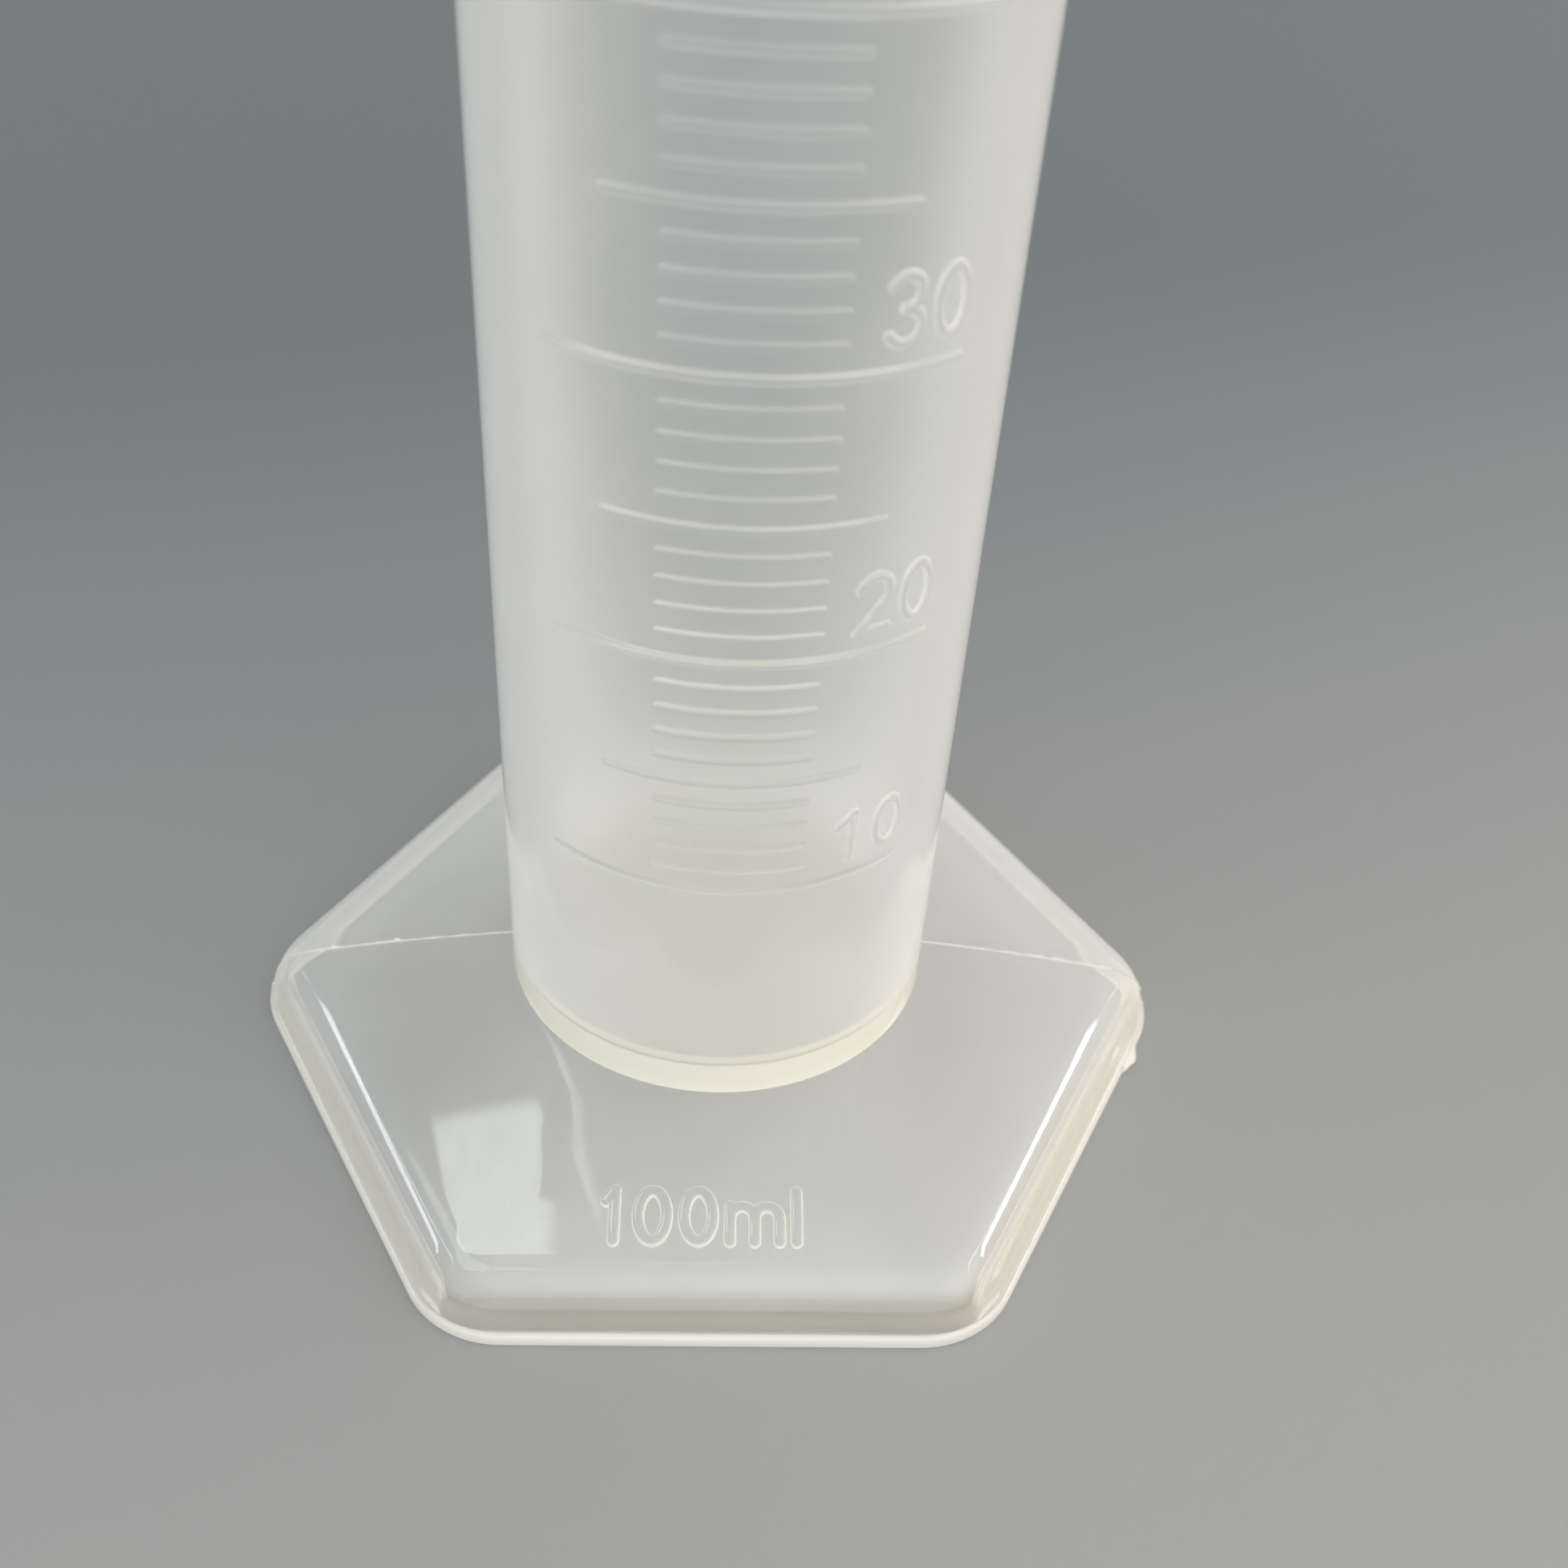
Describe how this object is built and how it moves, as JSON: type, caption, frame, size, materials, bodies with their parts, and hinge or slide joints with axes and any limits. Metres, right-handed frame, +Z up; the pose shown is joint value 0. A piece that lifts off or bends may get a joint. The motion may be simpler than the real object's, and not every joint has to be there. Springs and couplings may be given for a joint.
{
  "type": "graduated cylinder",
  "caption": "Tall milky plastic measuring tube with a raised millilitre scale, a flared pouring rim and a hollow hexagonal foot.",
  "frame": {"origin": "centre of the foot, on the surface that it stands on", "axes": "+Z up along the tube; the scale faces -Y; the foot has flats on +Y and -Y and corners on +X and -X; the spout points to -X"},
  "size_m": [0.068, 0.0604, 0.21],
  "materials": {
    "milky_polypropylene": "natural translucent polypropylene, milky, smooth gloss outside",
    "clear_polypropylene": "the same polypropylene in a thinner, clearer wall, smooth gloss"
  },
  "bodies": {
    "root": {"hex_base": "clear_polypropylene", "tube_floor": "milky_polypropylene", "graduated_tube": "milky_polypropylene", "pour_rim": "milky_polypropylene"}
  },
  "joints": []
}
